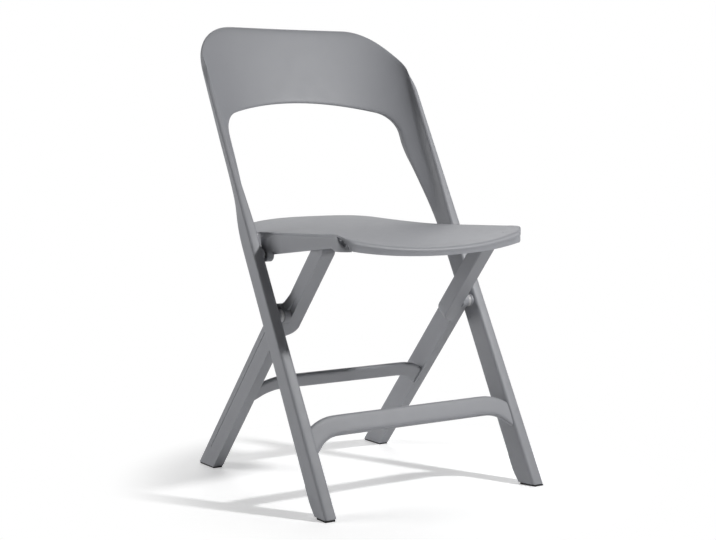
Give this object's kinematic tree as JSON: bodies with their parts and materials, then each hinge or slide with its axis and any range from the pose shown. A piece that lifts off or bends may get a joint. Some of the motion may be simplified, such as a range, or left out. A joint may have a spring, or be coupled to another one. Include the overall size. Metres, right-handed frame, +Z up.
{
  "type": "folding chair",
  "caption": "Moulded folding chair: wrapped curved back, legs that cross on pivot pins, bent band stretchers and a dished seat that swings up as the legs close.",
  "frame": {"origin": "on the floor, under the middle of the open chair's box", "axes": "+Z up, -Y is the front of the chair, +X is the sitter's left"},
  "size_m": [0.458, 0.518, 0.817],
  "materials": {
    "grey_plastic": "fine matte grain",
    "pale_plastic": "smooth matte",
    "dark_plastic": "smooth matte",
    "sole_rubber": "matte",
    "pin_steel": "turned"
  },
  "bodies": {
    "frame": {"back_frame": "grey_plastic", "front_stretcher": "grey_plastic", "cross_pin_left": "pin_steel", "cross_pin_right": "pin_steel", "cross_bush_left": "pale_plastic", "cross_bush_right": "pale_plastic", "seat_pin_left": "pin_steel", "seat_pin_right": "pin_steel", "seat_bush_left": "dark_plastic", "seat_bush_right": "dark_plastic", "front_foot_left": "sole_rubber", "front_foot_right": "sole_rubber"},
    "rear_legs": {"rear_leg_left": "grey_plastic", "rear_leg_right": "grey_plastic", "hinge_arm_left": "grey_plastic", "hinge_arm_right": "grey_plastic", "arm_screws": "pin_steel", "rear_stretcher": "grey_plastic", "rest_shoe_left": "grey_plastic", "rest_shoe_right": "grey_plastic", "rear_foot_left": "sole_rubber", "rear_foot_right": "sole_rubber"},
    "seat_panel": {"seat": "grey_plastic"}
  },
  "joints": [
    {"name": "rear_leg_fold", "type": "hinge", "parent": "frame", "child": "rear_legs", "pos_m": [0, -0.06006, 0.31309], "axis": [-1, 0, 0], "range_deg": [0, 62]},
    {"name": "seat_fold", "type": "hinge", "parent": "frame", "child": "seat_panel", "pos_m": [0, -0.00447, 0.414], "axis": [-1, 0, 0], "range_deg": [0, 112.1]}
  ],
  "couplings": [
    {"joint": "seat_fold", "follows": "rear_leg_fold", "ratio": 1.8065}
  ]
}
